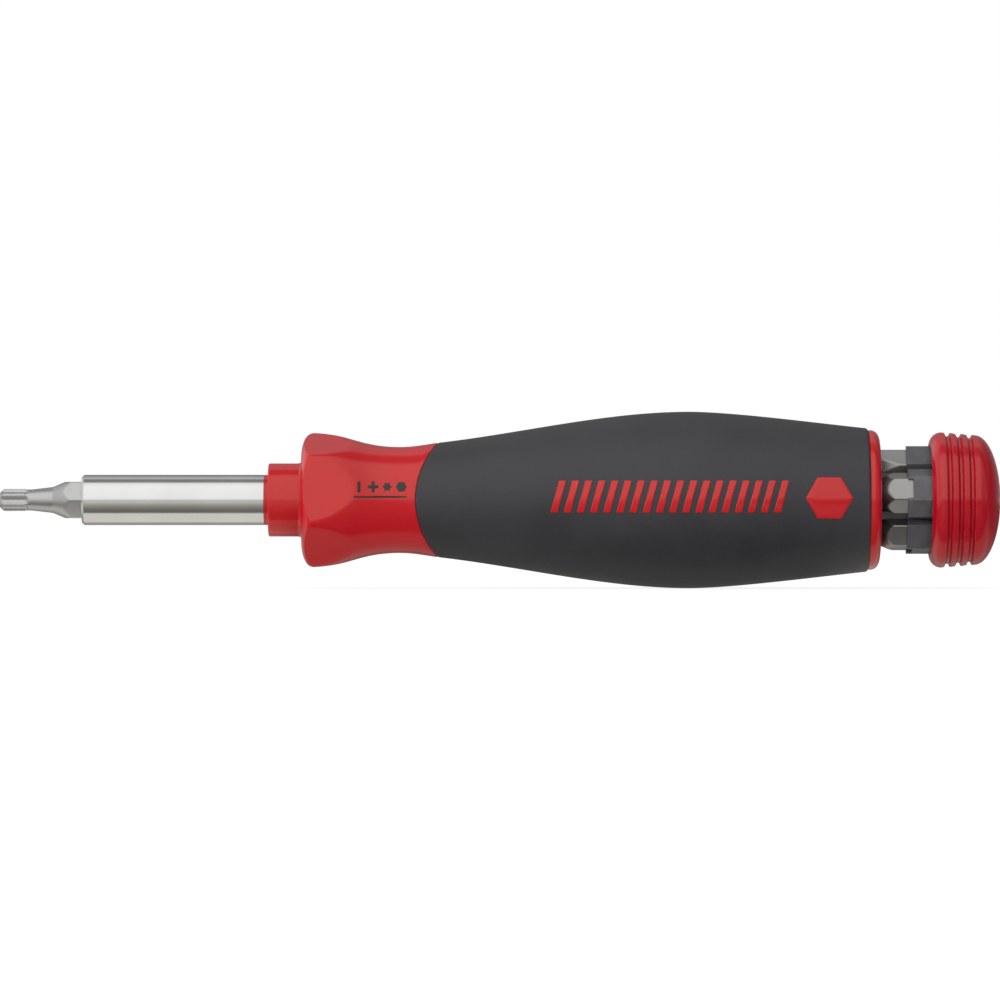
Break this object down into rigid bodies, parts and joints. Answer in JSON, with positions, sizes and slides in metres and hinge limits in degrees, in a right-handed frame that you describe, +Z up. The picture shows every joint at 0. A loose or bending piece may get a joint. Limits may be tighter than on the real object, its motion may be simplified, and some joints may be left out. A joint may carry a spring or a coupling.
{
  "type": "pocket screwdriver",
  "caption": "Pocket screwdriver with a soft barrel grip, a steel holder for hexagon bits at its nose and a bit magazine that pulls out of the handle by a domed cap.",
  "frame": {"origin": "centre of the bit holder's mouth, where a bit goes in", "axes": "+X along the tool from the tip to the cap, +Z up as it lies in the picture, -Y towards the viewer"},
  "size_m": [0.175, 0.0308, 0.0308],
  "materials": {
    "red_plastic": "satin moulded red plastic",
    "black_rubber": "matt soft-touch rubber",
    "stainless_steel": "polished stainless tube",
    "tool_steel": "satin hardened steel",
    "nickel_magnet": "nickel plate",
    "black_plastic": "moulded black plastic",
    "ring_rubber": "smooth black rubber",
    "zinc_screw": "zinc plate"
  },
  "bodies": {
    "handle": {"handle_core": "red_plastic", "soft_grip": "black_rubber", "rear_ring": "red_plastic", "holder_sleeve": "stainless_steel", "drive_shank": "tool_steel", "holder_magnet": "nickel_magnet"},
    "driver_bit": {"nose_bit": "tool_steel"},
    "sliding_ring": {"friction_ring": "ring_rubber"},
    "magazine": {"bit_carrier": "black_plastic", "guide_collar": "black_plastic", "collar_screw": "zinc_screw", "pull_cap": "red_plastic"},
    "stored_slotted": {"slotted_bit": "tool_steel"},
    "stored_cross": {"cross_bit": "tool_steel"},
    "stored_star": {"star_bit": "tool_steel"},
    "stored_hexagon": {"hexagon_bit": "tool_steel"}
  },
  "joints": [
    {"name": "nose_bit_pull", "type": "slide", "parent": "handle", "child": "driver_bit", "axis": [-1, 0, 0], "range_m": [0, 0.012]},
    {"name": "magazine_slide", "type": "slide", "parent": "handle", "child": "sliding_ring", "axis": [1, 0, 0], "range_m": [-0.0087, 0.0229]},
    {"name": "magazine_turn", "type": "hinge", "parent": "sliding_ring", "child": "magazine", "pos_m": [0.106, 0, 0], "axis": [1, 0, 0], "continuous": true},
    {"name": "slotted_bit_pull", "type": "slide", "parent": "magazine", "child": "stored_slotted", "axis": [-1, 0, 0], "range_m": [0, 0.0095]},
    {"name": "cross_bit_pull", "type": "slide", "parent": "magazine", "child": "stored_cross", "axis": [-1, 0, 0], "range_m": [0, 0.0095]},
    {"name": "star_bit_pull", "type": "slide", "parent": "magazine", "child": "stored_star", "axis": [-1, 0, 0], "range_m": [0, 0.0095]},
    {"name": "hexagon_bit_pull", "type": "slide", "parent": "magazine", "child": "stored_hexagon", "axis": [-1, 0, 0], "range_m": [0, 0.0095]}
  ]
}
